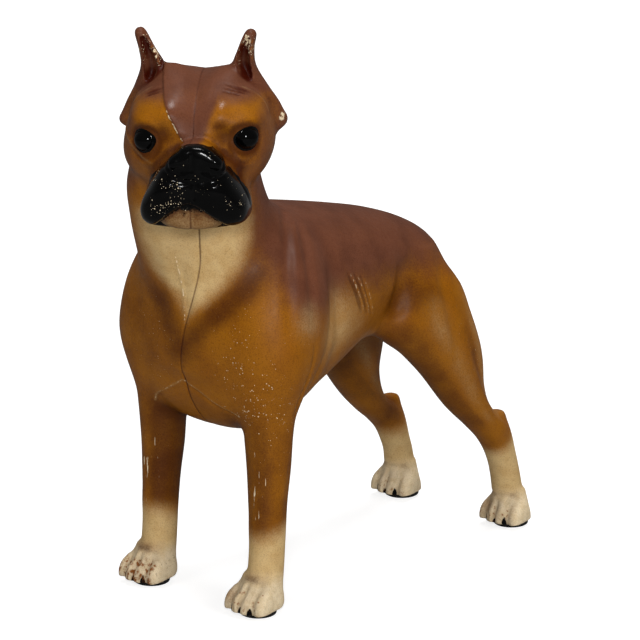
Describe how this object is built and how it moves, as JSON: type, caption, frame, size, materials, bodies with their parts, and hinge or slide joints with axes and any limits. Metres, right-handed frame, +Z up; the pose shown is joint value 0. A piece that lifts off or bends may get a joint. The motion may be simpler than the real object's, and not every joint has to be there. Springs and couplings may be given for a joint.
{
  "type": "dog doorstop",
  "caption": "Painted cast-iron figure of a standing short-haired dog with cropped ears and its head turned to its left, a heavy hollow doorstop on soft round pads.",
  "frame": {"origin": "middle of the figure's box in plan, on the floor that the pads stand on", "axes": "+Z up, the dog's trunk faces -Y, +X is the dog's left"},
  "size_m": [0.0839, 0.1895, 0.207],
  "materials": {
    "coat": "airbrushed brown and cream enamel over cast iron, satin varnish, chipped",
    "screw": "dulled bare steel",
    "pad": "matt black rubber"
  },
  "bodies": {
    "root": {"left_half": "coat", "right_half": "coat", "front_screw": "screw", "rear_screw": "screw", "pad_front_left": "pad", "pad_front_right": "pad", "pad_hind_left": "pad", "pad_hind_right": "pad"}
  },
  "joints": []
}
